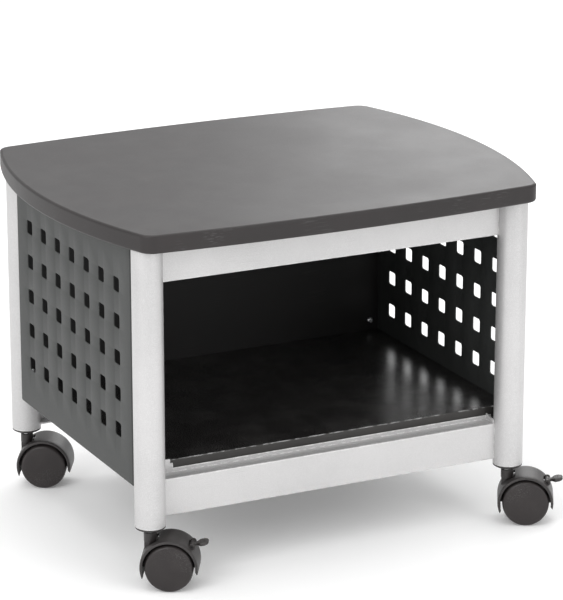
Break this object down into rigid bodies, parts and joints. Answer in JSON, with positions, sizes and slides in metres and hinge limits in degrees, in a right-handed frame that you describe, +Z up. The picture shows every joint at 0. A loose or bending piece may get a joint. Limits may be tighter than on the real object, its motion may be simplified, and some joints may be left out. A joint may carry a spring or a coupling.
{
  "type": "mobile printer stand",
  "caption": "Low rolling stand with a bowed dark top on round tube legs, perforated side panels, a closed back, an open-fronted paper shelf and hooded twin-wheel casters, the front ones braked.",
  "frame": {"origin": "on the floor at the middle of the stand's plan", "axes": "+X to the right as seen from the open front, +Y from the open front to the closed back, +Z up"},
  "size_m": [0.5212, 0.4144, 0.378],
  "materials": {
    "charcoal_laminate": "charcoal melamine laminate on board, fine pebbled satin",
    "charcoal_edge_band": "charcoal plastic edge band, satin",
    "silver_powder_coat": "light silver powder coat, satin",
    "grey_powder_coat": "mid grey powder coat, matt",
    "black_powder_coat": "black powder coat, matt",
    "black_laminate": "black laminate on board, semi-gloss",
    "black_edging": "black edging strip, satin",
    "black_nylon": "black moulded nylon, satin",
    "black_wheel": "black moulded nylon wheel, satin",
    "zinc_plated_steel": "bright zinc plate"
  },
  "bodies": {
    "stand": {"top_board": "charcoal_laminate", "top_edge_band": "charcoal_edge_band", "leg_fl": "silver_powder_coat", "leg_fr": "silver_powder_coat", "leg_rl": "silver_powder_coat", "leg_rr": "silver_powder_coat", "socket_fl": "black_nylon", "socket_fr": "black_nylon", "socket_rl": "black_nylon", "socket_rr": "black_nylon", "apron_front": "silver_powder_coat", "apron_rear": "silver_powder_coat", "lower_rail_front": "silver_powder_coat", "lower_rail_rear": "silver_powder_coat", "shelf_board": "black_laminate", "shelf_edging": "black_edging", "side_panel_left": "grey_powder_coat", "side_panel_right": "grey_powder_coat", "back_panel": "black_powder_coat", "top_screws": "zinc_plated_steel", "front_panel_screws": "zinc_plated_steel", "rear_panel_screws": "zinc_plated_steel", "shelf_screws": "zinc_plated_steel"},
    "caster_fl": {"hood_fl": "black_nylon", "stem_fl": "zinc_plated_steel", "axle_fl": "zinc_plated_steel", "lever_pin_fl": "black_powder_coat"},
    "wheel_fl_a": {"wheel_fl_a": "black_wheel"},
    "wheel_fl_b": {"wheel_fl_b": "black_wheel"},
    "brake_fl": {"lever_fl": "black_nylon"},
    "caster_fr": {"hood_fr": "black_nylon", "stem_fr": "zinc_plated_steel", "axle_fr": "zinc_plated_steel", "lever_pin_fr": "black_powder_coat"},
    "wheel_fr_a": {"wheel_fr_a": "black_wheel"},
    "wheel_fr_b": {"wheel_fr_b": "black_wheel"},
    "brake_fr": {"lever_fr": "black_nylon"},
    "caster_rl": {"hood_rl": "black_nylon", "stem_rl": "zinc_plated_steel", "axle_rl": "zinc_plated_steel"},
    "wheel_rl_a": {"wheel_rl_a": "black_wheel"},
    "wheel_rl_b": {"wheel_rl_b": "black_wheel"},
    "caster_rr": {"hood_rr": "black_nylon", "stem_rr": "zinc_plated_steel", "axle_rr": "zinc_plated_steel"},
    "wheel_rr_a": {"wheel_rr_a": "black_wheel"},
    "wheel_rr_b": {"wheel_rr_b": "black_wheel"}
  },
  "joints": [
    {"name": "swivel_fl", "type": "hinge", "parent": "stand", "child": "caster_fl", "pos_m": [-0.209, -0.167, 0.0585], "axis": [0, 0, 1], "continuous": true},
    {"name": "roll_fl_a", "type": "hinge", "parent": "caster_fl", "child": "wheel_fl_a", "pos_m": [-0.19168, -0.177, 0.025], "axis": [-0.5, -0.866, 0], "continuous": true},
    {"name": "roll_fl_b", "type": "hinge", "parent": "caster_fl", "child": "wheel_fl_b", "pos_m": [-0.19168, -0.177, 0.025], "axis": [-0.5, -0.866, 0], "continuous": true},
    {"name": "brake_fl", "type": "hinge", "parent": "caster_fl", "child": "brake_fl", "pos_m": [-0.17173, -0.18852, 0.04574], "axis": [0.5, 0.866, 0], "range_deg": [0, 24]},
    {"name": "swivel_fr", "type": "hinge", "parent": "stand", "child": "caster_fr", "pos_m": [0.209, -0.167, 0.0585], "axis": [0, 0, 1], "continuous": true},
    {"name": "roll_fr_a", "type": "hinge", "parent": "caster_fr", "child": "wheel_fr_a", "pos_m": [0.22632, -0.177, 0.025], "axis": [-0.5, -0.866, 0], "continuous": true},
    {"name": "roll_fr_b", "type": "hinge", "parent": "caster_fr", "child": "wheel_fr_b", "pos_m": [0.22632, -0.177, 0.025], "axis": [-0.5, -0.866, 0], "continuous": true},
    {"name": "brake_fr", "type": "hinge", "parent": "caster_fr", "child": "brake_fr", "pos_m": [0.24627, -0.18852, 0.04574], "axis": [0.5, 0.866, 0], "range_deg": [0, 24]},
    {"name": "swivel_rl", "type": "hinge", "parent": "stand", "child": "caster_rl", "pos_m": [-0.209, 0.167, 0.0585], "axis": [0, 0, 1], "continuous": true},
    {"name": "roll_rl_a", "type": "hinge", "parent": "caster_rl", "child": "wheel_rl_a", "pos_m": [-0.19168, 0.157, 0.025], "axis": [-0.5, -0.866, 0], "continuous": true},
    {"name": "roll_rl_b", "type": "hinge", "parent": "caster_rl", "child": "wheel_rl_b", "pos_m": [-0.19168, 0.157, 0.025], "axis": [-0.5, -0.866, 0], "continuous": true},
    {"name": "swivel_rr", "type": "hinge", "parent": "stand", "child": "caster_rr", "pos_m": [0.209, 0.167, 0.0585], "axis": [0, 0, 1], "continuous": true},
    {"name": "roll_rr_a", "type": "hinge", "parent": "caster_rr", "child": "wheel_rr_a", "pos_m": [0.22632, 0.157, 0.025], "axis": [-0.5, -0.866, 0], "continuous": true},
    {"name": "roll_rr_b", "type": "hinge", "parent": "caster_rr", "child": "wheel_rr_b", "pos_m": [0.22632, 0.157, 0.025], "axis": [-0.5, -0.866, 0], "continuous": true}
  ]
}
